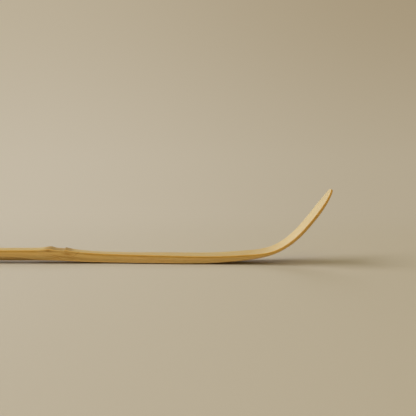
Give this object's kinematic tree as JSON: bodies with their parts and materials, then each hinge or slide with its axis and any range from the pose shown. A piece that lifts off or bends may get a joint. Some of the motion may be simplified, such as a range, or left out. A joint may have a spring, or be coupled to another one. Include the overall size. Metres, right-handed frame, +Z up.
{
  "type": "tea scoop",
  "caption": "Slender bamboo tea scoop: straight handle with a node, and a thin blade bent up at the end to lift powdered tea.",
  "frame": {"origin": "bottom centre of the scoop's box as it lies on a table, blade up", "axes": "+X along the scoop from the butt to the blade, +Y across it, +Z up"},
  "size_m": [0.1724, 0.011, 0.0234],
  "materials": {
    "wall_wood": "knife-cut bamboo wall, fine long fibres, waxed by hand, satin",
    "outer_skin": "smooth bamboo skin, pale straw yellow, soft sheen",
    "node_skin": "rough bamboo node skin, tan with dark flecks, dull"
  },
  "bodies": {
    "root": {"culm_wall": "wall_wood", "handle_skin": "outer_skin", "nodal_ridge": "node_skin", "intranode_band": "node_skin", "sheath_scar": "node_skin", "blade_skin": "outer_skin"}
  },
  "joints": []
}
